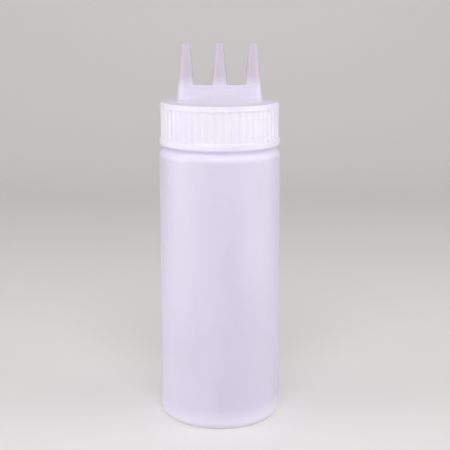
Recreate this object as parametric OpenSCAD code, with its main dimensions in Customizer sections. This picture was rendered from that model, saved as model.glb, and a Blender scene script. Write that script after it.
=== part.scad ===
// Wide-mouth squeeze bottle for sauces, with a ribbed screw cap that carries three tapered nozzles.
// Millimetres, +Z up. The origin is the centre of the ring that the bottle stands on, and the nozzles
// stand in a row along X.

/* [Body] */
// Amount by which the barrel stands out beyond the cap's flange
barrel_out = 0.3; // [0.1:0.1:1]
// Height of the shoulder above the surface that the bottle stands on
shoulder_h = 161.3; // [100:0.1:220]
// Radius of the rounding where the barrel turns into the shoulder
shoulder_round = 6; // [5:0.5:10]
// Radius of the rounding round the foot of the barrel
foot_round = 4; // [3:0.5:8]
// Thickness of the squeezable wall
wall = 1.2; // [0.8:0.1:2.4]
// Thickness of the floor
floor_t = 1.6; // [1:0.1:3]
// Width of the flat ring that the bottle stands on
stand_w = 5; // [3:0.5:8]
// Height of the hollow pushed up under the floor
push_up_h = 2.5; // [1:0.1:6]

/* [Neck] */
// Outer diameter of the neck between its threads
neck_d = 60; // [56:0.5:80]
// Wall thickness of the neck
neck_wall = 1.8; // [1.2:0.1:2.6]
// Length of the neck above the shoulder
neck_h = 22.7; // [18:0.1:32]
// Radius of the fillet between the shoulder and the neck
neck_fillet = 1; // [0.4:0.1:1.2]

/* [Thread] */
// Rise of the thread in one full turn
thread_pitch = 4.2; // [3.9:0.1:5]
// Number of turns of each thread ridge
thread_turns = 1.25; // [1:0.25:2]
// Height of a thread ridge above its wall
thread_depth = 1.3; // [0.8:0.1:1.6]
// Width of a thread ridge at its wall
thread_root_w = 2.4; // [2:0.1:2.6]
// Width of a thread ridge at its crest
thread_crest_w = 1.2; // [0.6:0.1:1.3]
// Radial clearance between a ridge's crest and the wall that it faces
thread_gap = 0.5; // [0.3:0.05:0.8]
// Plain length of neck between its rim and the top of its ridge
thread_drop = 4; // [3:0.1:6]

/* [Cap] */
// Thickness of the cap's skirt at the bottom of its grooves
skirt_wall = 1.6; // [1.2:0.1:2.4]
// Thickness of the cap's deck
deck_t = 1.8; // [1.2:0.1:3]
// Open height between the shoulder and the cap's lower edge
skirt_gap = 1.5; // [1:0.1:3]
// Number of grip ribs round the skirt
rib_count = 50; // [36:2:56]
// Diameter of the round bead that makes each grip rib
rib_w = 2.1; // [1.6:0.1:2.4]
// Height of the grip ribs above their grooves
rib_relief = 0.65; // [0.4:0.05:0.8]
// Height of the plain band above the ribs
rim_band_h = 2.8; // [1.5:0.1:5]
// Amount by which the plain band leans in towards the deck
rim_lean = 0.75; // [0:0.05:1]
// Height of the plain flange below the ribs
flange_h = 3.2; // [2:0.1:5]
// Overhang of the flange beyond the grooves
flange_out = 1.3; // [0.8:0.1:2]
// Width of the chamfer on the cap's outer edges
edge_chamfer = 0.5; // [0.2:0.1:0.7]
// Depth of the plug ring below the deck
plug_h = 4.5; // [2:0.1:8]
// Wall thickness of the plug ring
plug_wall = 1.2; // [0.8:0.1:2]
// Radial clearance between the plug ring and the mouth
plug_gap = 0.6; // [0.3:0.05:1]

/* [Boss and bar] */
// Amount by which the outer nozzles overhang the foot of the conical boss
nozzle_lap = 1; // [0.4:0.1:1.5]
// Diameter at the top of the boss
boss_top_d = 9.2; // [6:0.1:12]
// Height of the top of the boss above the deck
boss_h = 6.7; // [5:0.1:8]
// Length by which the hollow under the boss is lowered and narrowed
boss_wall = 1.5; // [1:0.1:1.5]
// Width of the hollow bar that joins the nozzles
bar_w = 8.6; // [7:0.1:8.8]
// Height of the bar above the deck
bar_h = 9.3; // [8.5:0.1:12]
// Thickness of the bar's top
bar_top_t = 2; // [1.2:0.1:2.6]
// Thickness of the bar's sides
bar_wall = 1.3; // [1:0.1:1.8]

/* [Nozzles] */
// Number of nozzles in the row
nozzle_count = 3; // [2:1:3]
// Distance between the axes of neighbouring nozzles
nozzle_step = 19; // [17:0.1:19.2]
// Height of the nozzles above the deck
nozzle_h = 32.7; // [24:0.1:45]
// Outer diameter of a nozzle at the deck
nozzle_d = 11; // [10.4:0.1:12]
// Outer diameter of a nozzle at its tip
tip_d = 4.4; // [4:0.1:6]
// Wall thickness of a nozzle at the deck
nozzle_wall = 1.4; // [1:0.1:1.8]
// Diameter of the hole in a nozzle's tip
tip_hole_d = 2.2; // [1.5:0.1:3]
// Chamfer round a nozzle's tip
tip_chamfer = 0.35; // [0.1:0.05:0.45]

/* [Seal] */
// Thickness of the seal between the neck's rim and the deck
seal_t = 1.2; // [0.8:0.1:2]
// Radial clearance between the seal and the plug ring inside it
seal_inner_gap = 0.3; // [0.2:0.05:0.6]
// Radial clearance between the seal and the skirt around it
seal_outer_gap = 0.6; // [0.3:0.05:1]

/* [Hidden] */
$fn = 128;
// Length by which joined shapes sink into each other, and by which a cut runs past a face
overlap = 0.4;
// Steps of a thread ridge in one full turn
thread_steps = 48;
// Angle over which each end of a ridge fades into its wall
thread_fade = 30;
neck_r = neck_d / 2;
mouth_r = neck_r - neck_wall;
rim_z = shoulder_h + neck_h;
thread_length = 360 * thread_turns;
thread_end_z = rim_z - thread_drop;
thread_start_z = thread_end_z - thread_pitch * thread_turns;
deck_low_z = rim_z + seal_t;
deck_z = deck_low_z + deck_t;
skirt_in_r = neck_r + thread_depth + thread_gap;
skirt_r = skirt_in_r + skirt_wall;
skirt_low_z = shoulder_h + skirt_gap;
rib_low_z = skirt_low_z + flange_h;
rib_high_z = deck_z - rim_band_h;
rib_r = skirt_r + rib_relief;
// Radius of the plain band, which just covers the ribs' upper ends
band_r = rib_r + overlap / 4;
flange_r = skirt_r + flange_out;
body_r = flange_r + barrel_out;
// Rim, sphere radius and sphere centre of the hollow under the floor
push_up_rim_r = body_r - foot_round - stand_w;
push_up_r = (pow(push_up_rim_r, 2) + pow(push_up_h, 2)) / (2 * push_up_h);
push_up_z = push_up_h - push_up_r;
plug_r = mouth_r - plug_gap;
row_half = nozzle_step * (nozzle_count - 1) / 2;
boss_r = row_half + nozzle_d / 2 - nozzle_lap;

// Half section of a can with rounded corners, from its axis outwards
module can_section(r, low_z, high_z, low_round, high_round) {
    translate([0, low_z + low_round]) square([r, high_z - low_z - low_round - high_round]);
    translate([0, low_z]) square([r - low_round, high_z - low_z - high_round]);
    translate([0, low_z + low_round]) square([r - high_round, high_z - low_z - low_round]);
    translate([r - low_round, low_z + low_round]) circle(low_round);
    translate([r - high_round, high_z - high_round]) circle(high_round);
}

// Half section of the disc whose domed side forms the pushed-up floor
module push_up_section(growth) {
    translate([0, push_up_z]) circle(push_up_r + growth, $fn = 720);
}

// Solid half section of the bottle's outside
module bottle_outside() {
    difference() {
        union() {
            can_section(body_r, 0, shoulder_h, foot_round, shoulder_round);
            translate([0, shoulder_h - overlap]) square([neck_r, neck_h + overlap]);
            neck_fillet_section();
        }
        push_up_section(0);
    }
}

// Concave fillet that touches the neck and the shoulder's rounding
module neck_fillet_section() {
    reach = shoulder_round + neck_fillet;
    across = max(0, neck_r + neck_fillet - body_r + shoulder_round);
    up = sqrt(pow(reach, 2) - pow(across, 2));
    centre = [neck_r + neck_fillet, shoulder_h - shoulder_round + up];
    touch = centre - [across, up] * neck_fillet / reach;
    difference() {
        polygon([centre, touch, [neck_r - overlap, touch[1] - overlap], [neck_r - overlap, centre[1]]]);
        translate(centre) circle(neck_fillet);
    }
}

// Half section of the space inside the bottle, open at the mouth
module bottle_inside() {
    difference() {
        can_section(body_r - wall, floor_t, shoulder_h - wall, foot_round - wall, shoulder_round - wall);
        push_up_section(floor_t);
    }
    translate([0, shoulder_h - wall - overlap]) square([mouth_r, neck_h + wall + 2 * overlap]);
}

// Share of a ridge's full height at an angle along it
function ridge_share(a) = min(1, a / thread_fade, (thread_length - a) / thread_fade);

// Four corners of a ridge's section; side is 1 outside a wall and -1 inside one
function ridge_corners(wall_r, side, a, start_z) =
    let (
        flank = (thread_root_w - thread_crest_w) / 2 / thread_depth,
        crest_r = wall_r + side * (ridge_share(a) * (thread_depth + overlap) - overlap),
        root_r = wall_r - side * 1.5 * overlap,
        root_half = thread_root_w / 2 + flank * 1.5 * overlap,
        z = start_z + thread_pitch * a / 360
    )
    [
        for (corner = [[root_r, -root_half], [crest_r, -thread_crest_w / 2],
                       [crest_r, thread_crest_w / 2], [root_r, root_half]])
            [corner[0] * cos(a), corner[0] * sin(a), z + side * corner[1]]
    ];

// Right-handed thread ridge that climbs from start_z
module thread_ridge(wall_r, side, start_z) {
    steps = round(thread_steps * thread_turns);
    points = [for (i = [0:steps]) each ridge_corners(wall_r, side, thread_length * i / steps, start_z)];
    sides = [
        for (i = [0:steps - 1], j = [0:3])
            let (a = 4 * i + j, b = 4 * i + (j + 1) % 4)
            each [[a, b + 4, a + 4], [a, b, b + 4]]
    ];
    last = 4 * steps;
    ends = [[0, 2, 1], [0, 3, 2], [last, last + 1, last + 2], [last, last + 2, last + 3]];
    polyhedron(points, concat(sides, ends));
}

// Places one nozzle's shape on every nozzle axis
module each_nozzle() {
    for (i = [0:nozzle_count - 1])
        translate([i * nozzle_step - row_half, 0, deck_z]) children();
}

// Half section of the skirt and deck as one solid cup, with the skirt thinned where the ribbed ring goes
module cap_cup_section() {
    core_r = skirt_r - overlap;
    rim_r = band_r - rim_lean;
    polygon([
        [skirt_in_r, skirt_low_z],
        [flange_r - edge_chamfer, skirt_low_z],
        [flange_r, skirt_low_z + edge_chamfer],
        [flange_r, rib_low_z - edge_chamfer],
        [band_r, rib_low_z],
        [core_r, rib_low_z],
        [core_r, rib_high_z],
        [band_r, rib_high_z],
        [rim_r, deck_z - edge_chamfer],
        [rim_r - edge_chamfer, deck_z],
        [0, deck_z],
        [0, deck_low_z],
        [skirt_in_r, deck_low_z]
    ]);
}

// Ring with the round grip ribs, let a little way into the flange and the plain band
module ribbed_ring() {
    sink = overlap / 4;
    translate([0, 0, rib_low_z - sink])
        linear_extrude(rib_high_z - rib_low_z + 2 * sink)
            difference() {
                union() {
                    circle(skirt_r);
                    for (i = [0:rib_count - 1])
                        rotate(360 * (i + 0.5) / rib_count)
                            translate([rib_r - rib_w / 2, 0]) circle(rib_w / 2, $fn = 32);
                }
                circle(skirt_r - 2 * overlap);
            }
}

// Conical boss on the deck, or the hollow under it when lowered and narrowed by its wall
module boss(sink, low_z) {
    foot_r = boss_r - sink;
    foot_z = deck_z - sink;
    translate([0, 0, low_z]) cylinder(h = foot_z - low_z, r = foot_r);
    translate([0, 0, foot_z]) cylinder(h = boss_h, r1 = foot_r, r2 = boss_top_d / 2);
}

// Straight bar between the outer nozzles' axes
module bar(width, low_z, high_z) {
    translate([-row_half, -width / 2, low_z]) cube([2 * row_half, width, high_z - low_z]);
}

// Outside of one nozzle, from just below the deck's top
module nozzle_outside() {
    chamfer_r = tip_d / 2 + tip_chamfer * (nozzle_d - tip_d) / 2 / nozzle_h;
    translate([0, 0, -overlap]) cylinder(h = overlap, d = nozzle_d);
    cylinder(h = nozzle_h - tip_chamfer, r1 = nozzle_d / 2, r2 = chamfer_r);
    translate([0, 0, nozzle_h - tip_chamfer])
        cylinder(h = tip_chamfer, r1 = chamfer_r, r2 = chamfer_r - tip_chamfer);
}

// Tapered bore of one nozzle, which runs past the tip and the deck
module nozzle_bore() {
    bore_r = nozzle_d / 2 - nozzle_wall;
    taper = (bore_r - tip_hole_d / 2) / nozzle_h;
    translate([0, 0, -deck_t - overlap])
        cylinder(h = deck_t + nozzle_h + 2 * overlap, r1 = bore_r + taper * (deck_t + overlap),
                 r2 = tip_hole_d / 2 - taper * overlap);
}

// Blown bottle with its threaded neck
module bottle() {
    color([0.86, 0.84, 0.91]) union() {
        rotate_extrude() difference() {
            bottle_outside();
            bottle_inside();
        }
        thread_ridge(neck_r, 1, thread_start_z);
    }
}

// Flat seal that lies on the neck's rim inside the cap
module seal_ring() {
    inner_r = plug_r + seal_inner_gap;
    outer_r = skirt_in_r - seal_outer_gap;
    color([0.80, 0.82, 0.84]) translate([0, 0, rim_z]) difference() {
        cylinder(h = seal_t, r = outer_r);
        translate([0, 0, -overlap]) cylinder(h = seal_t + 2 * overlap, r = inner_r);
    }
}

// Moulded cap with its skirt, boss, bar and nozzles; its ridge runs half a pitch below the neck's
module nozzle_cap() {
    color([0.94, 0.93, 0.98]) union() {
        difference() {
            union() {
                rotate_extrude() cap_cup_section();
                ribbed_ring();
                translate([0, 0, deck_low_z - plug_h]) cylinder(h = plug_h + overlap, r = plug_r);
                boss(0, deck_z - overlap);
                bar(bar_w, deck_z - overlap, deck_z + bar_h);
                each_nozzle() nozzle_outside();
            }
            translate([0, 0, deck_low_z - plug_h - overlap])
                cylinder(h = plug_h + overlap, r = plug_r - plug_wall);
            boss(boss_wall, deck_low_z - overlap);
            bar(bar_w - 2 * bar_wall, deck_low_z - overlap, deck_z + bar_h - bar_top_t);
            each_nozzle() nozzle_bore();
        }
        thread_ridge(skirt_in_r, -1, thread_start_z - thread_pitch / 2);
    }
}

bottle();
seal_ring();
nozzle_cap();
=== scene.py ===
"""Looks of a wide-mouth squeeze bottle for sauces, whose screw cap carries three tapered nozzles.

The sizes held by the classes are real sizes in millimetres. A mesh is turned into metres when it
becomes an object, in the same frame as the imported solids: the origin is the middle of the ring that
the bottle stands on, +Z is up, and the nozzles stand in a row along X.
"""

import logging
import math
from dataclasses import dataclass
from enum import Enum

import bpy
import numpy as np
from bpy.types import Material, NodeOutputs, NodeSocket, Object, ShaderNode, ShaderNodeTree
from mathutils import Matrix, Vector

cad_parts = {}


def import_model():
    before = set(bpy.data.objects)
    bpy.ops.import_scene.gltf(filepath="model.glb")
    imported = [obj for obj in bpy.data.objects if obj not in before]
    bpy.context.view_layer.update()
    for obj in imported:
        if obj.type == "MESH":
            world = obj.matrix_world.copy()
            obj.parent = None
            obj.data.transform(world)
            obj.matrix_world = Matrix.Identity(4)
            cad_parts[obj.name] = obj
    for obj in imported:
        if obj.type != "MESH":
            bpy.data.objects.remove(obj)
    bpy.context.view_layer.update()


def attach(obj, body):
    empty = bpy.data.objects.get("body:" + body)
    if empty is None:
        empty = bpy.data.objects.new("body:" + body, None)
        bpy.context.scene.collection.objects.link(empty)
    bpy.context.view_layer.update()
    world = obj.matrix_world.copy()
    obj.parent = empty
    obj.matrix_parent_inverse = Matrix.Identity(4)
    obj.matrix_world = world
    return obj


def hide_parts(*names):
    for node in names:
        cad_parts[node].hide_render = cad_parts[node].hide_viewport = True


log = logging.getLogger("squeeze_bottle")

MILLIMETRE = 0.001

Array = np.ndarray
Corner = tuple[float, float]
Colour = tuple[float, float, float]
Point = tuple[float, float, float]


class Body(Enum):
    """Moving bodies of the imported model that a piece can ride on."""

    BOTTLE = "bottle"
    SEAL = "seal"
    CAP = "cap"


class Node(Enum):
    """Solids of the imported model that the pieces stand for."""

    BOTTLE = "bottle"
    SEAL_RING = "seal_ring"
    NOZZLE_CAP = "nozzle_cap"


class Slot(Enum):
    """Material slots of the part's record."""

    BOTTLE_PLASTIC = "bottle_plastic"
    SEAL_PLASTIC = "seal_plastic"
    CAP_PLASTIC = "cap_plastic"


def linear(red: int, green: int, blue: int) -> Colour:
    """Turns a screen colour into the linear one that a shader takes.

    Args:
        red: Red on a scale of 0 to 255.
        green: Green on the same scale.
        blue: Blue on the same scale.

    Returns:
        The linear colour, each part from 0 to 1.
    """
    parts = [value / 255 for value in (red, green, blue)]
    curved = [part / 12.92 if part <= 0.04045 else ((part + 0.055) / 1.055) ** 2.4 for part in parts]
    return curved[0], curved[1], curved[2]


@dataclass
class Surface:
    """Points in millimetres, the faces that join them and the way that each point faces."""

    points: Array
    faces: list[tuple[int, ...]]
    normals: Array

    def to_object(self, name: str, finish: Material) -> Object:
        """Makes a smooth-shaded object in metres.

        Args:
            name: Name of the new object and its mesh.
            finish: Material of all its faces.

        Returns:
            The object, linked to the scene and standing at the origin.
        """
        mesh = bpy.data.meshes.new(name)
        mesh.from_pydata((self.points * MILLIMETRE).tolist(), [], self.faces)
        mesh.validate()
        mesh.shade_smooth()
        if len(mesh.vertices) == len(self.normals):
            mesh.normals_split_custom_set_from_vertices(self.normals.tolist())
        mesh.update()
        mesh.materials.append(finish)
        piece = bpy.data.objects.new(name, mesh)
        bpy.context.scene.collection.objects.link(piece)
        return piece


@dataclass(frozen=True)
class ThreadRidge:
    """Right-handed thread ridge of trapezoid section, which fades into its wall at both ends."""

    end_height: float
    drop: float = 0.0
    pitch: float = 4.2
    turns: float = 1.25
    depth: float = 1.3
    root_width: float = 2.4
    crest_width: float = 1.2
    fade_angle: float = 30.0

    def heights(self, angle: Array, z: Array) -> Array:
        """Finds how far the ridge stands off its wall.

        Args:
            angle: Angle round the axis, in degrees.
            z: Height of the same points.

        Returns:
            The ridge's height above the wall at each point, and 0 beside it.
        """
        start_height = self.end_height - self.pitch * self.turns - self.drop
        length = 360 * self.turns
        tallest = np.zeros(np.broadcast(angle, z).shape)
        for lap in range(math.ceil(self.turns)):
            along = np.mod(angle, 360) + 360 * lap
            ends = np.clip(np.minimum(along, length - along) / self.fade_angle, 0, 1)
            away = np.abs(z - start_height - self.pitch * along / 360)
            flank = (self.root_width / 2 - away) / ((self.root_width - self.crest_width) / 2)
            tallest = np.maximum(tallest, self.depth * ends * np.clip(flank, 0, 1))
        return tallest


@dataclass
class Lathe:
    """Half section that grows by lines and arcs and is then turned round the Z axis."""

    corners: list[Corner]

    def line(self, radius: float, z: float, steps: int = 1) -> "Lathe":
        """Adds a straight stretch to the half section.

        Args:
            radius: Radius at its end.
            z: Height of its end.
            steps: Number of equal steps in it.

        Returns:
            The same half section.
        """
        start_r, start_z = self.corners[-1]
        for step in range(1, steps + 1):
            share = step / steps
            self.corners.append((start_r + share * (radius - start_r), start_z + share * (z - start_z)))
        return self

    def arc(self, centre: Corner, size: float, start: float, stop: float, steps: int) -> "Lathe":
        """Adds an arc to the half section.

        Args:
            centre: Radius and height of the arc's centre.
            size: Radius of the arc itself.
            start: Angle in degrees at which it starts, from the outward direction.
            stop: Angle in degrees at which it stops.
            steps: Number of steps in it.

        Returns:
            The same half section.
        """
        for step in range(steps + 1):
            turn = math.radians(start + (stop - start) * step / steps)
            corner = (centre[0] + size * math.cos(turn), centre[1] + size * math.sin(turn))
            if math.dist(corner, self.corners[-1]) > 1e-4:
                self.corners.append(corner)
        return self

    def rows(self, angles: Array) -> Array:
        """Turns the half section round the axis.

        Args:
            angles: Angles of the columns, in degrees.

        Returns:
            Points in rows, one row for each corner and one point in it for each angle.
        """
        section = np.array(self.corners)
        turn = np.radians(angles)
        x = section[:, :1] * np.cos(turn)
        y = section[:, :1] * np.sin(turn)
        z = np.repeat(section[:, 1:], len(angles), axis=1)
        return np.stack([x, y, z], axis=-1)


def skin_of_rows(rows: Array, ring: bool) -> Surface:
    """Joins turned rows of points into one closed skin.

    Args:
        rows: Points in rows, in the order in which the half section runs.
        ring: Whether the last row joins the first one; if not, both lie on the axis.

    Returns:
        The closed surface, with normals in which a large face weighs more than a small one.
    """
    row_count, column_count = rows.shape[:2]
    index = np.arange(row_count * column_count).reshape(row_count, column_count)
    points = rows.reshape(-1, 3)
    if not ring:
        index[0] = index[0, 0]
        index[-1] = index[-1, 0]
    after = np.roll(index, -1, axis=1)
    if ring:
        index = np.vstack([index, index[:1]])
        after = np.vstack([after, after[:1]])
    quads = np.stack([index[:-1], after[:-1], after[1:], index[1:]], axis=-1).reshape(-1, 4)
    across = np.cross(points[quads[:, 2]] - points[quads[:, 0]], points[quads[:, 3]] - points[quads[:, 1]])
    normals = np.zeros_like(points)
    for corner in range(4):
        np.add.at(normals, quads[:, corner], across)
    used, packed = np.unique(quads, return_inverse=True)
    packed = packed.reshape(quads.shape)
    lengths = np.linalg.norm(normals[used], axis=1, keepdims=True)
    faces = [tuple(dict.fromkeys(face)) for face in packed.tolist()]
    return Surface(points[used], faces, normals[used] / np.maximum(lengths, 1e-12))


def inset(corners: list[Corner], amount: float) -> list[Corner]:
    """Moves every side of a closed section inwards.

    Args:
        corners: Corners of the section, anticlockwise in the plane of radius and height.
        amount: Length by which each side moves in.

    Returns:
        The corners of the smaller section.
    """
    moved = []
    for before, here, after in zip(corners[-1:] + corners[:-1], corners, corners[1:] + corners[:1]):
        first = Vector((here[0] - before[0], here[1] - before[1])).normalized()
        second = Vector((after[0] - here[0], after[1] - here[1])).normalized()
        turn = first.x * second.y - first.y * second.x
        slide = amount * (1 - first.dot(second)) / turn if abs(turn) > 1e-9 else 0.0
        r = here[0] - first.y * amount - first.x * slide
        moved.append((r, here[1] + first.x * amount - first.y * slide))
    return moved


@dataclass(frozen=True)
class Places:
    """Points at which a shape's distance is measured."""

    x: Array
    y: Array
    z: Array

    @property
    def r(self) -> Array:
        """Radius of the points."""
        return np.hypot(self.x, self.y)


def section_distance(corners: list[Corner], r: Array, z: Array, rounding: float = 0.0) -> Array:
    """Measures the signed distance to a closed section in the plane of radius and height.

    Args:
        corners: Corners of the section, anticlockwise.
        r: Radius of the points to measure.
        z: Height of the points to measure.
        rounding: Radius to which the section's outer corners are rounded.

    Returns:
        The distance of each point, below zero inside the section.
    """
    if rounding:
        corners = inset(corners, rounding)
    nearest = np.full(r.shape, np.inf, r.dtype)
    inside = np.zeros(r.shape, bool)
    for (start_r, start_z), (end_r, end_z) in zip(corners, corners[1:] + corners[:1]):
        run, rise = end_r - start_r, end_z - start_z
        share = np.clip(((r - start_r) * run + (z - start_z) * rise) / (run * run + rise * rise), 0, 1)
        gap = (r - start_r - share * run) ** 2 + (z - start_z - share * rise) ** 2
        nearest = np.minimum(nearest, gap)
        if rise:
            inside ^= ((start_z > z) != (end_z > z)) & (r < start_r + (z - start_z) * run / rise)
    return np.where(inside, -1, 1) * np.sqrt(nearest) - rounding


def slab_distance(at: Places, half: Corner, heights: Corner, rounding: float) -> Array:
    """Measures the signed distance to an upright block centred on the axis.

    Args:
        at: The points to measure.
        half: Half the block's length along X and half its width along Y.
        heights: Heights of the block's bottom and top.
        rounding: Radius of the block's edges.

    Returns:
        The distance of each point, below zero inside the block.
    """
    middle = (heights[0] + heights[1]) / 2
    out_x = np.abs(at.x) - half[0] + rounding
    out_y = np.abs(at.y) - half[1] + rounding
    out_z = np.abs(at.z - middle) - (heights[1] - heights[0]) / 2 + rounding
    outside = np.sqrt(np.maximum(out_x, 0) ** 2 + np.maximum(out_y, 0) ** 2 + np.maximum(out_z, 0) ** 2)
    return outside + np.minimum(np.maximum(np.maximum(out_x, out_y), out_z), 0) - rounding


def joined(first: Array, second: Array, fillet: float) -> Array:
    """Joins two distance fields, with a fillet where they meet.

    Args:
        first: Distances to one shape.
        second: Distances to the other shape.
        fillet: Length over which the two run into each other.

    Returns:
        The distances to the joined shape.
    """
    near = np.maximum(fillet - np.abs(first - second), 0) / fillet
    return np.minimum(first, second) - near * near * fillet / 4


def cut(solid: Array, hollow: Array, edge: float) -> Array:
    """Cuts a hollow out of a solid, with softened edges where it opens.

    Args:
        solid: Distances to the solid.
        hollow: Distances to the hollow.
        edge: Length over which the edges are softened.

    Returns:
        The distances to what is left.
    """
    return -joined(-solid, hollow, edge)


@dataclass(frozen=True)
class Skinner:
    """Finds the skin of a distance field on a grid whose lines may be unevenly spaced."""

    x_lines: Array
    y_lines: Array
    z_lines: Array
    rounds: int = 4
    longest_step: float = 0.3
    least_steepness: float = 0.25
    least_share: float = 0.01
    slope_reach: float = 0.04

    def skin(self, distance: "NozzleCap") -> Surface:
        """Makes the skin where the shape's distance field is zero.

        Args:
            distance: Shape whose distance method measures points.

        Returns:
            The closed surface, its points moved onto the field's zero level.
        """
        lines = [self.x_lines, self.y_lines, self.z_lines]
        grid = np.meshgrid(*[line.astype(np.float32) for line in lines], indexing="ij")
        field = distance.distance(Places(*grid))
        inside = field < 0
        points, number = self._cell_points(field, inside, lines)
        faces = self._faces(inside, number)
        for _ in range(self.rounds):
            slope, level = self._slope(distance, points)
            steepness = np.maximum((slope * slope).sum(axis=1), self.least_steepness)
            step = slope * (level / steepness)[:, None]
            length = np.maximum(np.linalg.norm(step, axis=1, keepdims=True), 1e-9)
            points = points - step * np.minimum(1, self.longest_step / length)
        slope, _ = self._slope(distance, points)
        normals = slope / np.maximum(np.linalg.norm(slope, axis=1, keepdims=True), 1e-9)
        return Surface(points, faces, normals)

    def _cell_points(self, field: Array, inside: Array, lines: list[Array]) -> tuple[Array, Array]:
        """Puts one point into each cell that the skin crosses, and no two in one place.

        Args:
            field: Distances at the grid's corners.
            inside: Whether each corner is inside the shape.
            lines: The grid's lines along X, Y and Z.

        Returns:
            The points, and the number of each cell's point or -1.
        """
        cells = tuple(size - 1 for size in field.shape)
        total = np.zeros(cells + (3,), np.float32)
        count = np.zeros(cells, np.float32)
        for axis in range(3):
            others = [other for other in range(3) if other != axis]
            for low, high in ((0, 0), (0, 1), (1, 0), (1, 1)):
                near = [slice(0, size) for size in cells]
                near[others[0]] = slice(low, cells[others[0]] + low)
                near[others[1]] = slice(high, cells[others[1]] + high)
                far = list(near)
                far[axis] = slice(1, cells[axis] + 1)
                start, stop = field[tuple(near)], field[tuple(far)]
                crossed = inside[tuple(near)] != inside[tuple(far)]
                share = start / np.where(crossed, start - stop, 1)
                share = np.clip(share, self.least_share, 1 - self.least_share)
                count += crossed
                for direction, line in enumerate(lines):
                    base = line[near[direction]].astype(np.float32)
                    shape = [1, 1, 1]
                    shape[direction] = -1
                    place = base.reshape(shape)
                    if direction == axis:
                        gap = np.diff(line).astype(np.float32).reshape(shape)
                        place = place + share * gap
                    total[..., direction] += np.where(crossed, place, 0)
        number = np.full(cells, -1, np.int64)
        filled = count > 0
        number[filled] = np.arange(int(filled.sum()))
        return (total[filled] / count[filled][:, None]).astype(float), number

    def _faces(self, inside: Array, number: Array) -> list[tuple[int, ...]]:
        """Joins the points of the four cells round each grid edge that the skin crosses.

        Args:
            inside: Whether each corner is inside the shape.
            number: The number of each cell's point.

        Returns:
            The faces, each facing out of the shape.
        """
        found = []
        for axis in range(3):
            side, up = (axis + 1) % 3, (axis + 2) % 3
            near = [slice(None)] * 3
            far = [slice(None)] * 3
            near[axis], far[axis] = slice(0, -1), slice(1, None)
            crossed = inside[tuple(near)] != inside[tuple(far)]
            place = np.argwhere(crossed)
            place = place[(place[:, side] > 0) & (place[:, up] > 0)]
            leaves = inside[tuple(place.T)]
            ring = []
            for back_side, back_up in ((1, 1), (0, 1), (0, 0), (1, 0)):
                cell = place.copy()
                cell[:, side] -= back_side
                cell[:, up] -= back_up
                ring.append(number[tuple(cell.T)])
            quads = np.stack(ring, axis=1)
            found.append(np.where(leaves[:, None], quads, quads[:, ::-1]))
        return [tuple(face) for face in np.concatenate(found).tolist()]

    def _slope(self, distance: "NozzleCap", points: Array) -> tuple[Array, Array]:
        """Measures how fast the field changes round each point.

        Args:
            distance: Shape whose distance method measures points.
            points: Points near its skin.

        Returns:
            The field's slope along X, Y and Z, and its level at each point.
        """
        reach = self.slope_reach
        slope = np.zeros_like(points)
        for axis in range(3):
            ahead, behind = points.copy(), points.copy()
            ahead[:, axis] += reach
            behind[:, axis] -= reach
            change = distance.distance(Places(*ahead.T)) - distance.distance(Places(*behind.T))
            slope[:, axis] = change / (2 * reach)
        return slope, distance.distance(Places(*points.T))


def feed(node: ShaderNode, inputs: dict[str | int, object]) -> None:
    """Gives a node's inputs what they run on.

    Args:
        node: The node.
        inputs: What each input gets, by name or number: another node's output, or a fixed value.
    """
    for label, given in inputs.items():
        if isinstance(given, NodeSocket):
            node.id_data.links.new(given, node.inputs[label])
        else:
            node.inputs[label].default_value = given


def added(
    tree: ShaderNodeTree,
    kind: str,
    inputs: dict[str | int, object],
    **settings: object,
) -> ShaderNode:
    """Adds a node to a tree.

    Args:
        tree: Tree that the node goes into.
        kind: Kind of node, without the words that all shader nodes start with.
        inputs: What each of its inputs gets.
        settings: Its other settings, by name.

    Returns:
        The new node.
    """
    node = tree.nodes.new(f"ShaderNode{kind}")
    for name, setting in settings.items():
        setattr(node, name, setting)
    feed(node, inputs)
    return node


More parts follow.
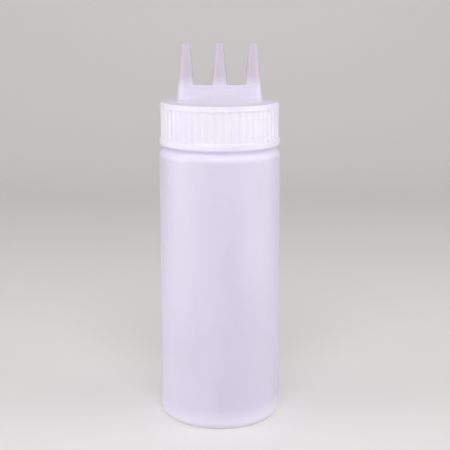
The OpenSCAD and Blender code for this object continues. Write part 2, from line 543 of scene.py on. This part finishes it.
@dataclass(frozen=True)
class GroupNodes:
    """Shader node groups that several finishes share, each built once."""

    clouding: ShaderNodeTree
    height_tone: ShaderNodeTree
    grain: ShaderNodeTree
    rubbing: ShaderNodeTree

    @classmethod
    def build(cls) -> "GroupNodes":
        """Builds all the groups."""
        return cls(
            clouding=cls._clouding(),
            height_tone=cls._height_tone(),
            grain=cls._grain(),
            rubbing=cls._rubbing(),
        )

    @staticmethod
    def _start(
        name: str,
        colours: tuple[str, ...],
        numbers: dict[str, float],
        outputs: dict[str, str],
    ) -> tuple[ShaderNodeTree, NodeOutputs, NodeSocket]:
        """Starts a group with named inputs and outputs.

        Args:
            name: Name of the group.
            colours: Names of the inputs that take a colour.
            numbers: First value of each input that takes a number, by name.
            outputs: Kind of each output, by name.

        Returns:
            The group, what its user feeds in, and the place of the point that is shaded.
        """
        tree = bpy.data.node_groups.new(name, "ShaderNodeTree")
        for label in colours:
            socket = tree.interface.new_socket(label, in_out="INPUT", socket_type="NodeSocketColor")
            socket.default_value = (1, 1, 1, 1)
        for label, value in numbers.items():
            socket = tree.interface.new_socket(label, in_out="INPUT", socket_type="NodeSocketFloat")
            socket.default_value = value
        for label, kind in outputs.items():
            tree.interface.new_socket(label, in_out="OUTPUT", socket_type=f"NodeSocket{kind}")
        given = tree.nodes.new("NodeGroupInput")
        tree.nodes.new("NodeGroupOutput").name = "out"
        return tree, given.outputs, added(tree, "TexCoord", {}).outputs["Object"]

    @classmethod
    def _clouding(cls) -> ShaderNodeTree:
        """Builds the slow clouding that milky plastic shows where its wall varies.

        Returns:
            A group that turns a thick and a thin colour into one clouded colour.
        """
        tree, given, place = cls._start(
            "milky clouding",
            ("Thick", "Thin"),
            {"Scale": 20.0, "Stretch": 1.0},
            {"Color": "Color", "Factor": "Float"},
        )
        squeeze = added(tree, "CombineXYZ", {"X": 1, "Y": 1, "Z": given["Stretch"]}).outputs["Vector"]
        stretched = added(tree, "VectorMath", {}, operation="MULTIPLY")
        feed(stretched, {0: place, 1: squeeze})
        cloud = added(tree, "TexNoise", {"Detail": 3, "Roughness": 0.55})
        feed(cloud, {"Vector": stretched.outputs["Vector"], "Scale": given["Scale"]})
        spread = added(tree, "MapRange", {}, interpolation_type="SMOOTHSTEP")
        feed(spread, {"Value": cloud.outputs["Fac"], "From Min": 0.32, "From Max": 0.68})
        share = spread.outputs["Result"]
        mix = added(tree, "Mix", {}, data_type="RGBA")
        feed(mix, {"Factor": share, "A": given["Thick"], "B": given["Thin"]})
        feed(tree.nodes["out"], {"Color": mix.outputs["Result"], "Factor": share})
        return tree

    @classmethod
    def _height_tone(cls) -> ShaderNodeTree:
        """Builds painted light or shade: a change of colour from some height on.

        Returns:
            A group that runs from one colour to another between two heights in metres.
        """
        tree, given, place = cls._start(
            "painted light by height",
            ("Below", "Above"),
            {"Low": 0.0, "High": 0.01},
            {"Color": "Color"},
        )
        height = added(tree, "SeparateXYZ", {"Vector": place}).outputs["Z"]
        rise = added(tree, "MapRange", {}, interpolation_type="SMOOTHSTEP")
        feed(rise, {"Value": height, "From Min": given["Low"], "From Max": given["High"]})
        mix = added(tree, "Mix", {}, data_type="RGBA")
        feed(mix, {"Factor": rise.outputs["Result"], "A": given["Below"], "B": given["Above"]})
        feed(tree.nodes["out"], {"Color": mix.outputs["Result"]})
        return tree

    @classmethod
    def _grain(cls) -> ShaderNodeTree:
        """Builds the height of a satin mould's fine grain and of the wall's slow waves.

        Returns:
            A group whose height is in millimetres.
        """
        tree, given, place = cls._start(
            "mould grain",
            (),
            {"Grain scale": 2500.0, "Grain height": 0.01, "Wave scale": 60.0, "Wave height": 0.05},
            {"Height": "Float"},
        )
        parts = []
        for name, detail in (("Grain", 2.0), ("Wave", 1.0)):
            noise = added(tree, "TexNoise", {"Detail": detail, "Vector": place})
            feed(noise, {"Scale": given[f"{name} scale"]})
            scaled = added(tree, "Math", {}, operation="MULTIPLY")
            feed(scaled, {0: noise.outputs["Fac"], 1: given[f"{name} height"]})
            parts.append(scaled.outputs["Value"])
        total = added(tree, "Math", dict(enumerate(parts)), operation="ADD")
        feed(tree.nodes["out"], {"Height": total.outputs["Value"]})
        return tree

    @classmethod
    def _rubbing(cls) -> ShaderNodeTree:
        """Builds the patchy roughness and faint hairlines of handled plastic.

        Returns:
            A group whose roughness runs from the polished to the dull value.
        """
        tree, given, place = cls._start(
            "handling marks",
            (),
            {"Polished": 0.3, "Dull": 0.4, "Patch scale": 45.0, "Hairline scale": 180.0},
            {"Roughness": "Float", "Hairlines": "Float"},
        )
        patches = added(tree, "TexNoise", {"Detail": 4, "Vector": place, "Scale": given["Patch scale"]})
        turned = added(tree, "Mapping", {"Rotation": (0.5, 0.35, 0.2), "Scale": (1.0, 1.0, 14.0)})
        feed(turned, {"Vector": place})
        hair = added(tree, "TexNoise", {"Detail": 2, "Scale": given["Hairline scale"]})
        feed(hair, {"Vector": turned.outputs["Vector"]})
        thin = added(tree, "MapRange", {"From Min": 0.66, "From Max": 0.74, "Value": hair.outputs["Fac"]})
        lines = thin.outputs["Result"]
        both = added(tree, "Math", {1: 0.5}, operation="MULTIPLY_ADD", use_clamp=True)
        feed(both, {0: lines, 2: patches.outputs["Fac"]})
        mapped = added(tree, "MapRange", {"From Min": 0.3, "From Max": 0.9, "Value": both.outputs["Value"]})
        feed(mapped, {"To Min": given["Polished"], "To Max": given["Dull"]})
        feed(tree.nodes["out"], {"Roughness": mapped.outputs["Result"], "Hairlines": lines})
        return tree


@dataclass(frozen=True)
class PaintedLightBand:
    """Painted light or shade that a finish takes on beyond a height in millimetres, as a change of colour.
    """

    colour: Colour
    start: float
    full: float


@dataclass(frozen=True)
class PlasticFinish:
    """Milky plastic whose colour clouds slowly and whose surface keeps the mould's grain."""

    name: str
    thick: Colour
    thin: Colour
    cloud_scale: float
    polished: float
    dull: float
    grain_scale: float
    grain_height: float
    wave_scale: float
    wave_height: float
    scatter_reach: float
    clearness: float
    scatter_weight: float = 1.0
    scatter_tint: Colour = (1.0, 0.98, 1.0)
    passed_light: Colour = (0.7, 0.7, 0.7)
    cloud_stretch: float = 1.0
    refraction: float = 1.5
    painted_light_bands: tuple[PaintedLightBand, ...] = ()

    def material(self, groups: GroupNodes) -> Material:
        """Builds the material.

        Args:
            groups: The shared node groups.

        Returns:
            The finished material.
        """
        made = bpy.data.materials.new(self.name)
        made.use_nodes = True
        made.diffuse_color = (*self.thick, 1)
        tree = made.node_tree
        rubbing = added(tree, "Group", {}, node_tree=groups.rubbing)
        feed(rubbing, {"Polished": self.polished, "Dull": self.dull})
        shader = tree.nodes["Principled BSDF"]
        feed(shader, {
            "Subsurface Weight": self.scatter_weight,
            "Subsurface Radius": self.scatter_tint,
            "Subsurface Scale": self.scatter_reach * MILLIMETRE,
            "IOR": self.refraction,
            "Transmission Weight": self.clearness,
            "Base Color": self._colour(tree, groups),
            "Roughness": rubbing.outputs["Roughness"],
            "Normal": self._relief(tree, groups),
        })
        self._let_lamps_through(tree, shader)
        return made

    def _colour(self, tree: ShaderNodeTree, groups: GroupNodes) -> NodeSocket:
        """Builds the clouded colour and the tones that it takes on beyond some heights.

        Args:
            Builds the clouded colour and the painted light and shade that it takes on beyond some heights.
            groups: The shared node groups.

        Returns:
            The output that gives the colour.
        """
        clouding = added(tree, "Group", {}, node_tree=groups.clouding)
        feed(clouding, {"Thick": (*self.thick, 1), "Thin": (*self.thin, 1)})
        feed(clouding, {"Scale": self.cloud_scale, "Stretch": self.cloud_stretch})
        colour = clouding.outputs["Color"]
        for tone in self.painted_light_bands:
            toned = added(tree, "Group", {}, node_tree=groups.height_tone)
            feed(toned, {"Below": colour, "Above": (*tone.colour, 1)})
            feed(toned, {"Low": tone.start * MILLIMETRE, "High": tone.full * MILLIMETRE})
            colour = toned.outputs["Color"]
        return colour

    def _relief(self, tree: ShaderNodeTree, groups: GroupNodes) -> NodeSocket:
        """Builds the bump of the mould's grain and the wall's waves.

        Args:
            tree: Nodes of the material.
            groups: The shared node groups.

        Returns:
            The output that gives the way that the surface faces.
        """
        grain = added(tree, "Group", {}, node_tree=groups.grain)
        feed(grain, {"Grain scale": self.grain_scale, "Grain height": self.grain_height})
        feed(grain, {"Wave scale": self.wave_scale, "Wave height": self.wave_height})
        bump = added(tree, "Bump", {"Strength": 1.0, "Distance": MILLIMETRE})
        feed(bump, {"Height": grain.outputs["Height"]})
        return bump.outputs["Normal"]

    def _let_lamps_through(self, tree: ShaderNodeTree, shader: ShaderNode) -> None:
        """Softens the shadows that the plastic casts, because its thin milky walls pass part of the light.

        Args:
            tree: Nodes of the material.
            shader: The shader that the eye sees.
        """
        shadow = added(tree, "LightPath", {}).outputs["Is Shadow Ray"]
        passing = added(tree, "BsdfTransparent", {"Color": (*self.passed_light, 1)})
        either = added(tree, "MixShader", {"Fac": shadow})
        feed(either, {1: shader.outputs["BSDF"], 2: passing.outputs["BSDF"]})
        feed(tree.nodes["Material Output"], {"Surface": either.outputs["Shader"]})


BLOWN_PLASTIC = PlasticFinish(
    name="blown milky polyethylene",
    thick=linear(228, 226, 238),
    thin=linear(222, 217, 231),
    cloud_scale=22.0,
    cloud_stretch=0.35,
    polished=0.34,
    dull=0.44,
    grain_scale=2600.0,
    grain_height=0.006,
    wave_scale=55.0,
    wave_height=0.10,
    scatter_reach=1.5,
    clearness=0.15,
    painted_light_bands=(
        # Painted highlight on the shoulder from 155 mm up, which also lightens the shade under the cap's
        # flange.
        PaintedLightBand(linear(236, 233, 246), start=155.0, full=158.8),
        # Painted light at the foot, lightening it below 14 mm against the shade where it stands on the
        # floor.
        PaintedLightBand(linear(236, 232, 242), start=14.0, full=3.0),
    ),
)

MOULDED_PLASTIC = PlasticFinish(
    name="moulded translucent polypropylene",
    thick=linear(241, 239, 253),
    thin=linear(237, 234, 251),
    cloud_scale=60.0,
    polished=0.34,
    dull=0.42,
    grain_scale=3200.0,
    grain_height=0.003,
    wave_scale=140.0,
    wave_height=0.02,
    scatter_reach=0.8,
    clearness=0.05,
    painted_light_bands=(
        # Painted shade: the deck, boss, bar and nozzles darker from 186.3 mm up.
        PaintedLightBand(linear(232, 227, 240), start=186.3, full=187.0),
        # Painted shade in the nozzles from 193 mm up, for the dark room seen through their thin walls.
        PaintedLightBand(linear(212, 202, 212), start=193.0, full=203.0),
    ),
)

SEAL_PLASTIC = PlasticFinish(
    name="soft foamed seal",
    thick=linear(214, 217, 221),
    thin=linear(200, 204, 210),
    cloud_scale=240.0,
    polished=0.55,
    dull=0.7,
    grain_scale=1800.0,
    grain_height=0.03,
    wave_scale=300.0,
    wave_height=0.02,
    scatter_weight=0.2,
    scatter_reach=1.0,
    scatter_tint=(1.0, 1.0, 1.0),
    clearness=0.0,
    passed_light=(0.3, 0.3, 0.3),
)


@dataclass
class Bottle:
    """Blown bottle: barrel, foot, pushed-up floor, shoulder and threaded neck."""

    barrel_radius: float = 34.94
    seam_height: float = 0.06
    seam_half_width: float = 0.35
    foot_round: float = 4.0
    stand_radius: float = 26.0
    ease_in: float = 0.3
    ease_out: float = 0.6
    ease_height: float = 0.03
    push_up: float = 2.5
    wall: float = 1.2
    floor: float = 1.6
    shoulder_height: float = 161.3
    shoulder_round: float = 6.0
    neck_radius: float = 30.0
    neck_wall: float = 1.8
    neck_fillet: float = 1.0
    rim_height: float = 184.0
    rim_round: float = 0.45
    thread_end: float = 180.0
    columns: int = 224
    scar_length: float = 30.0
    scar_height: float = 0.5
    scar_half_width: float = 0.7
    margin: float = 0.4

    def section(self) -> Lathe:
        """Draws the half section, from the middle of the underside to the middle of the floor.

        The last number of each line and arc is how many steps it has, more where the seams or the
        thread shape it.

        Returns:
            The half section.
        """
        sphere = (self.stand_radius ** 2 + self.push_up ** 2) / (2 * self.push_up)
        middle = self.push_up - sphere
        foot_in = self.barrel_radius - self.foot_round
        arc_in = foot_in + self.foot_round - self.shoulder_round
        arc_z = self.shoulder_height - self.shoulder_round
        fillet_r = self.neck_radius + self.neck_fillet
        reach = self.shoulder_round + self.neck_fillet
        fillet_z = arc_z + math.sqrt(reach ** 2 - (fillet_r - arc_in) ** 2)
        tilt = math.degrees(math.atan2(fillet_z - arc_z, fillet_r - arc_in))
        inner_neck = self.neck_radius - self.neck_wall
        lathe = Lathe([(0.0, self.push_up)])
        for radius in np.linspace(0, self.stand_radius - 1, 26)[1:]:
            lathe.line(float(radius), middle + math.sqrt(sphere ** 2 - float(radius) ** 2))
        lathe.line(self.stand_radius - self.ease_in, self.ease_height)
        lathe.line(self.stand_radius + self.ease_out, 0)
        lathe.line(foot_in, 0, 3)
        lathe.arc((foot_in, self.foot_round), self.foot_round, -90, 0, 12)
        lathe.line(self.barrel_radius, arc_z, 26)
        lathe.arc((arc_in, arc_z), self.shoulder_round, 0, tilt, 14)
        lathe.arc((fillet_r, fillet_z), self.neck_fillet, tilt + 180, 180, 6)
        lathe.line(self.neck_radius, self.rim_height - self.rim_round, 66)
        rim_z = self.rim_height - self.rim_round
        lathe.arc((self.neck_radius - self.rim_round, rim_z), self.rim_round, 0, 90, 4)
        lathe.arc((inner_neck + self.rim_round, rim_z), self.rim_round, 90, 180, 4)
        lathe.line(inner_neck, self.shoulder_height - self.wall, 6)
        lathe.arc((arc_in, arc_z), self.shoulder_round - self.wall, 90, 0, 10)
        foot_z = self.floor + self.foot_round - self.wall
        lathe.line(self.barrel_radius - self.wall, foot_z, 16)
        lathe.arc((foot_in, foot_z), self.foot_round - self.wall, 0, -90, 8)
        dome = sphere + self.floor
        edge = math.sqrt(dome ** 2 - (self.floor - middle) ** 2)
        lathe.line(edge, self.floor, 2)
        for radius in np.linspace(edge, 0, 9)[1:]:
            lathe.line(float(radius), middle + math.sqrt(dome ** 2 - float(radius) ** 2))
        return lathe

    def angles(self) -> Array:
        """Spaces the columns, with closer ones along the two mould seams.

        Returns:
            The angles in degrees, rising.
        """
        even = np.arange(self.columns) * 360 / self.columns
        close = np.degrees(np.array([-1.0, -0.5, 0.5, 1.0]) * self.seam_half_width / self.barrel_radius)
        return np.unique(np.round(np.mod(np.concatenate([even, close, close + 180]), 360), 5))

    def surface(self) -> Surface:
        """Turns the section and adds the thread, the mould seams and the scar under the floor.

        Returns:
            The bottle's closed surface.
        """
        lathe = self.section()
        angles = self.angles()
        rows = lathe.rows(angles)
        section = np.array(lathe.corners)
        outer = np.arange(len(section)) <= int(np.argmax(section[:, 1]))
        ridge = ThreadRidge(self.thread_end)
        on_neck = outer & (np.abs(section[:, 0] - self.neck_radius) < 1e-6)
        extra = np.where(on_neck[:, None], ridge.heights(angles[None, :], section[:, 1:]), 0)
        across = np.abs(np.sin(np.radians(angles))) * self.barrel_radius
        seam = self.seam_height * np.clip(1 - across / self.seam_half_width, 0, 1)
        on_barrel = outer & (section[:, 0] > self.neck_radius + self.margin) & (section[:, 1] > self.margin)
        extra = extra + on_barrel[:, None] * seam[None, :]
        turn = np.radians(angles)
        rows[..., 0] += extra * np.cos(turn)
        rows[..., 1] += extra * np.sin(turn)
        under = outer & (section[:, 0] < self.stand_radius) & (section[:, 1] < self.push_up + 0.1)
        along = np.clip(1 - np.abs(rows[..., 0]) / (self.scar_length / 2), 0, 1)
        beside = np.clip(1 - np.abs(rows[..., 1]) / self.scar_half_width, 0, 1)
        rows[..., 2] -= under[:, None] * self.scar_height * np.sqrt(along) * beside
        return skin_of_rows(rows, ring=False)

    def build(self, groups: GroupNodes) -> Object:
        """Makes the bottle, dresses it and puts it in place of its solid."""
        piece = self.surface().to_object("blown_bottle", BLOWN_PLASTIC.material(groups))
        return installed(piece, Body.BOTTLE, Node.BOTTLE)


@dataclass
class SealRing:
    """Flat foamed ring between the neck's rim and the cap's deck."""

    inner_radius: float = 27.9
    outer_radius: float = 31.2
    low: float = 184.0
    thickness: float = 1.2
    rounding: float = 0.25
    columns: int = 160

    def surface(self) -> Surface:
        """Turns the ring's section.

        Returns:
            The ring's closed surface.
        """
        small = self.rounding
        top = self.low + self.thickness
        lathe = Lathe([(self.inner_radius + small, self.low)])
        lathe.line(self.outer_radius - small, self.low, 3)
        lathe.arc((self.outer_radius - small, self.low + small), small, -90, 0, 3)
        lathe.arc((self.outer_radius - small, top - small), small, 0, 90, 3)
        lathe.line(self.inner_radius + small, top, 3)
        lathe.arc((self.inner_radius + small, top - small), small, 90, 180, 3)
        lathe.arc((self.inner_radius + small, self.low + small), small, 180, 269, 3)
        angles = np.arange(self.columns) * 360 / self.columns
        return skin_of_rows(lathe.rows(angles), ring=True)

    def build(self, groups: GroupNodes) -> Object:
        """Makes the ring, dresses it and puts it in place of its solid."""
        piece = self.surface().to_object("foamed_seal", SEAL_PLASTIC.material(groups))
        return installed(piece, Body.SEAL, Node.SEAL_RING)


@dataclass
class NozzleCap:
    """Moulded screw cap: ribbed skirt, flange, deck, boss, hollow bar and three tapered nozzles."""

    skirt_inner: float = 31.8
    skirt_outer: float = 33.4
    skirt_low: float = 162.8
    flange_radius: float = 34.7
    flange_top: float = 166.0
    band_radius: float = 34.15
    band_low: float = 184.2
    band_lean: float = 0.75
    deck_low: float = 185.2
    deck_top: float = 187.0
    edge_round: float = 0.5
    step_slope: float = 0.9
    cavity_low: float = 150.0
    cavity_round: float = 0.4
    rib_count: int = 50
    rib_radius: float = 1.9
    rib_relief: float = 0.5
    rib_fillet: float = 1.1
    rib_lap: float = 0.1
    thread_end: float = 180.0
    thread_drop: float = 2.1
    thread_sink: float = 0.4
    plug_inner: float = 26.4
    plug_outer: float = 27.6
    plug_low: float = 180.7
    plug_sink: float = 0.6
    boss_radius: float = 23.5
    boss_top: float = 4.6
    boss_height: float = 6.7
    boss_wall: float = 1.5
    bar_half_width: float = 4.3
    bar_height: float = 9.3
    bar_wall: float = 1.3
    bar_top: float = 2.0
    bar_round: float = 0.4
    bar_fillet: float = 0.35
    nozzle_step: float = 19.0
    nozzle_foot: float = 5.5
    nozzle_tip: float = 2.2
    nozzle_height: float = 32.7
    bore_foot: float = 4.1
    bore_tip: float = 1.1
    tip_round: float = 0.4
    joint_fillet: float = 1.1
    deck_fillet: float = 1.2
    inner_fillet: float = 0.3
    bore_edge: float = 0.25
    overlap: float = 1.0
    past_axis: float = -10.0
    # Grid on which the skin is found; its shifts keep its lines off the flat faces.
    cell: float = 0.55
    fine_cell: float = 0.42
    rib_cell: float = 0.7
    nozzle_cell: float = 0.9
    tip_cell: float = 0.3
    level_shift: float = 0.017
    height_shift: float = 0.013

    def _boss(self, sink: float, low: float) -> list[Corner]:
        """Draws the conical boss's half section, past the axis on its inner side.

        Args:
            sink: Length by which it is lowered and its foot moved inwards.
            low: Height of its bottom.

        Returns:
            The corners, anticlockwise.
        """
        foot = self.boss_radius - sink
        foot_z = self.deck_top - sink
        return [
            (self.past_axis, low),
            (foot, low),
            (foot, foot_z),
            (self.boss_top, foot_z + self.boss_height),
            (self.past_axis, foot_z + self.boss_height),
        ]

    def _cone(self, foot: float, tip: float, low: float, high: float) -> list[Corner]:
        """Draws the half section of a nozzle or its bore, extended along its taper.

        Args:
            foot: Radius at the deck's top.
            tip: Radius at the nozzle's tip.
            low: Height of its bottom above the deck's top.
            high: Height of its top above the deck's top.

        Returns:
            The corners, anticlockwise.
        """
        taper = (foot - tip) / self.nozzle_height
        return [
            (self.past_axis, self.deck_top + low),
            (foot - taper * low, self.deck_top + low),
            (foot - taper * high, self.deck_top + high),
            (self.past_axis, self.deck_top + high),
        ]

    def _ribs(self, at: Places) -> Array:
        """Measures the distance to the round grip ribs.

        Args:
            at: The points.

        Returns:
            The distance of each point.
        """
        pitch = 2 * math.pi / self.rib_count
        angle = np.mod(np.arctan2(at.y, at.x), pitch) - pitch / 2
        centre = self.skirt_outer + self.rib_relief - self.rib_radius
        bead = np.hypot(at.r * np.cos(angle) - centre, at.r * np.sin(angle)) - self.rib_radius
        middle = (self.flange_top + self.band_low) / 2
        half = (self.band_low - self.flange_top) / 2
        return np.maximum(bead, np.abs(at.z - middle) - half - self.rib_lap)

    def _outside(self, at: Places) -> Array:
        """Measures the distance to the cap's outside, with no hollows in it.

        Args:
            at: The points.

        Returns:
            The distance of each point.
        """
        cup = [
            (self.past_axis, self.skirt_low),
            (self.flange_radius, self.skirt_low),
            (self.flange_radius, self.flange_top),
            (self.skirt_outer, self.flange_top + self.step_slope),
            (self.skirt_outer, self.band_low - self.step_slope),
            (self.band_radius, self.band_low),
            (self.band_radius - self.band_lean, self.deck_top),
            (self.past_axis, self.deck_top),
        ]
        solid = section_distance(cup, at.r, at.z, self.edge_round)
        solid = joined(solid, self._ribs(at), self.rib_fillet)
        boss = section_distance(self._boss(0, self.deck_top - 2 * self.overlap), at.r, at.z)
        solid = joined(solid, boss, self.deck_fillet)
        reach = (self.nozzle_step, self.bar_half_width)
        heights = (self.deck_top - self.overlap, self.deck_top + self.bar_height)
        bar = slab_distance(at, reach, heights, self.bar_round)
        solid = joined(solid, bar, self.bar_fillet)
        cone = self._cone(self.nozzle_foot, self.nozzle_tip, -self.overlap, self.nozzle_height)
        nozzle = section_distance(cone, self._off_nozzle(at), at.z, self.tip_round)
        return joined(solid, nozzle, self.joint_fillet)

    def _off_nozzle(self, at: Places) -> Array:
        """Measures how far the points are from the axis of the nearest nozzle."""
        nearest = self.nozzle_step * np.clip(np.round(at.x / self.nozzle_step), -1, 1)
        return np.hypot(at.x - nearest, at.y)

    def distance(self, at: Places) -> Array:
        """Measures the signed distance to the cap's skin.

        Args:
            at: The points.

        Returns:
            The distance of each point, below zero inside the plastic.
        """
        r, z = at.r, at.z
        small = self.inner_fillet
        cavity = [
            (self.past_axis, self.cavity_low),
            (self.skirt_inner, self.cavity_low),
            (self.skirt_inner, self.deck_low),
            (self.past_axis, self.deck_low),
        ]
        inside = section_distance(cavity, r, z, self.cavity_round)
        solid = cut(self._outside(at), inside, self.cavity_round)
        plug = [
            (self.plug_inner, self.plug_low),
            (self.plug_outer, self.plug_low),
            (self.plug_outer, self.deck_top - self.plug_sink),
            (self.plug_inner, self.deck_top - self.plug_sink),
        ]
        solid = joined(solid, section_distance(plug, r, z, small), small)
        solid = np.minimum(solid, self._thread(at))
        low = self.deck_low - self.overlap
        solid = cut(solid, section_distance(self._boss(self.boss_wall, low), r, z), small)
        reach = (self.nozzle_step, self.bar_half_width - self.bar_wall)
        heights = (low, self.deck_top + self.bar_height - self.bar_top)
        solid = cut(solid, slab_distance(at, reach, heights, small), small)
        foot = self.deck_low - self.deck_top - self.overlap
        bore = self._cone(self.bore_foot, self.bore_tip, foot, self.nozzle_height + self.overlap)
        return cut(solid, section_distance(bore, self._off_nozzle(at), z), self.bore_edge)

    def _thread(self, at: Places) -> Array:
        """Measures the distance to the inside thread, whose ridge runs between the neck's turns.

        Args:
            at: The points.

        Returns:
            The distance of each point, and a long one where there is no ridge.
        """
        faintest, slope, far = 0.02, 0.8, 9
        ridge = ThreadRidge(self.thread_end, self.thread_drop)
        stand = ridge.heights(np.degrees(np.arctan2(at.y, at.x)), at.z)
        beyond = np.maximum(self.skirt_inner - stand - at.r, at.r - self.skirt_outer + self.thread_sink)
        return np.where(stand > faintest, slope * beyond, far)

    def lines(self) -> Skinner:
        """Lays the grid's lines, close where the cap has edges and wider along its plain lengths.

        Returns:
            The grid on which the skin is found.
        """
        reach = self.flange_radius + 2 * self.cell
        level = np.arange(-reach, reach + self.cell, self.cell) + self.level_shift
        tip = self.deck_top + self.nozzle_height
        edges = [
            self.skirt_low - 0.6,
            self.flange_top + 0.5,
            self.band_low - 0.5,
            self.deck_top + self.bar_height + 1.2,
            tip - 1,
            tip + 0.6,
        ]
        cells = [self.fine_cell, self.rib_cell, self.fine_cell, self.nozzle_cell, self.tip_cell]
        parts = [
            np.linspace(low, high, round((high - low) / cell) + 1)[:-1]
            for low, high, cell in zip(edges[:-1], edges[1:], cells)
        ]
        rising = np.concatenate(parts + [np.array(edges[-1:])]) + self.height_shift
        return Skinner(level, level.copy(), rising)

    def build(self, groups: GroupNodes) -> Object:
        """Makes the cap, dresses it and puts it in place of its solid."""
        piece = self.lines().skin(self).to_object("moulded_nozzle_cap", MOULDED_PLASTIC.material(groups))
        return installed(piece, Body.CAP, Node.NOZZLE_CAP)


@dataclass(frozen=True)
class SoftBox:
    """Soft studio lamp that faces a point."""

    name: str
    place: Point
    aim: Point
    size: tuple[float, float]
    power: float
    tint: Colour = (0.955, 0.95, 1.0)

    def build(self) -> Object:
        """Makes the lamp.

        Returns:
            The lamp's object.
        """
        lamp = bpy.data.lights.new(self.name, "AREA")
        lamp.shape = "RECTANGLE"
        lamp.size, lamp.size_y = self.size
        lamp.energy = self.power
        lamp.color = self.tint
        holder = bpy.data.objects.new(self.name, lamp)
        holder.location = self.place
        holder.rotation_euler = (Vector(self.aim) - Vector(self.place)).to_track_quat("-Z", "Y").to_euler()
        bpy.context.scene.collection.objects.link(holder)
        return holder


@dataclass
class Studio:
    """Plain pale sweep, soft lamps and the camera at the photograph's angle."""

    camera_place: Point = (3.04, -578.8, 240.1)
    camera_pitch: float = 12.26
    focal_pixels: float = 1006.4
    image_pixels: float = 450.0
    sweep_colour: Colour = linear(242, 239, 236)
    sweep_front: float = -2.6
    sweep_back: float = 0.7
    sweep_bend: float = 0.5
    sweep_steps: int = 16
    sweep_top: float = 3.0
    sweep_half_width: float = 3.0
    world_strength: float = 0.30
    lamps: tuple[SoftBox, ...] = (
        SoftBox("left box", (-0.95, -0.25, 0.30), (0, 0, 0.11), (0.7, 1.1), 5.06),
        SoftBox("right box", (0.95, -0.2, 0.30), (0, 0, 0.11), (0.7, 1.1), 5.06),
        SoftBox("top front box", (0.0, -0.75, 0.95), (0, 0, 0.15), (0.8, 0.5), 5.7),
        SoftBox("front box", (0.0, -1.3, 0.30), (0, 0, 0.16), (0.9, 0.3), 1.45),
    )

    def sweep(self) -> Object:
        """Makes the floor and backdrop as one curved sheet.

        Returns:
            The sheet.
        """
        line = [(self.sweep_front, 0.0), (self.sweep_back, 0.0)]
        bend = self.sweep_bend
        for step in range(1, self.sweep_steps + 1):
            turn = math.radians(90 * step / self.sweep_steps)
            line.append((self.sweep_back + bend * math.sin(turn), bend - bend * math.cos(turn)))
        line.append((self.sweep_back + bend, self.sweep_top))
        half = self.sweep_half_width
        points = [(side, y, z) for y, z in line for side in (-half, half)]
        faces = [(2 * i, 2 * i + 1, 2 * i + 3, 2 * i + 2) for i in range(len(line) - 1)]
        mesh = bpy.data.meshes.new("sweep")
        mesh.from_pydata(points, [], faces)
        mesh.shade_smooth()
        mesh.materials.append(self._sweep_paper())
        sheet = bpy.data.objects.new("sweep", mesh)
        bpy.context.scene.collection.objects.link(sheet)
        return sheet

    def _sweep_paper(self) -> Material:
        """Builds the sweep's plain matt paper."""
        paper = bpy.data.materials.new("pale sweep")
        paper.use_nodes = True
        shader = paper.node_tree.nodes["Principled BSDF"]
        shader.inputs["Base Color"].default_value = (*self.sweep_colour, 1)
        shader.inputs["Roughness"].default_value = 0.85
        shader.inputs["Specular IOR Level"].default_value = 0.2
        return paper

    def camera(self) -> Object:
        """Makes the scene's camera from its fitted place, pitch and focal length.

        Returns:
            The camera's object.
        """
        lens = bpy.data.cameras.new("camera")
        lens.sensor_width = 36.0
        lens.lens = lens.sensor_width * self.focal_pixels / self.image_pixels
        lens.clip_start = 0.01
        holder = bpy.data.objects.new("camera", lens)
        holder.location = Vector(self.camera_place) * MILLIMETRE
        holder.rotation_euler = (math.radians(90 - self.camera_pitch), 0, 0)
        bpy.context.scene.collection.objects.link(holder)
        bpy.context.scene.camera = holder
        return holder

    def build(self) -> None:
        """Makes the sweep, the lamps, the world and the camera."""
        self.sweep()
        for lamp in self.lamps:
            lamp.build()
        world = bpy.data.worlds.new("room")
        world.use_nodes = True
        backdrop = world.node_tree.nodes["Background"]
        backdrop.inputs["Color"].default_value = (1, 1, 1, 1)
        backdrop.inputs["Strength"].default_value = self.world_strength
        bpy.context.scene.world = world
        bpy.context.scene.view_settings.view_transform = "Standard"
        self.camera()


def installed(piece: Object, body: Body, node: Node) -> Object:
    """Puts a finished piece in place of its solid.

    Args:
        piece: The finished piece.
        body: Body that it moves with.
        node: Solid that it stands for.

    Returns:
        The same piece.
    """
    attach(piece, body.value)
    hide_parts(node.value)
    return piece


def main() -> None:
    """Builds the classes in order and reports each piece."""
    logging.basicConfig(level=logging.INFO, format="%(message)s")
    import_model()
    Studio().build()
    groups = GroupNodes.build()
    for part in (Bottle(), SealRing(), NozzleCap()):
        piece = part.build(groups)
        log.info("%s: %d points, %d faces", piece.name, len(piece.data.vertices), len(piece.data.polygons))


if __name__ == "__main__":
    main()
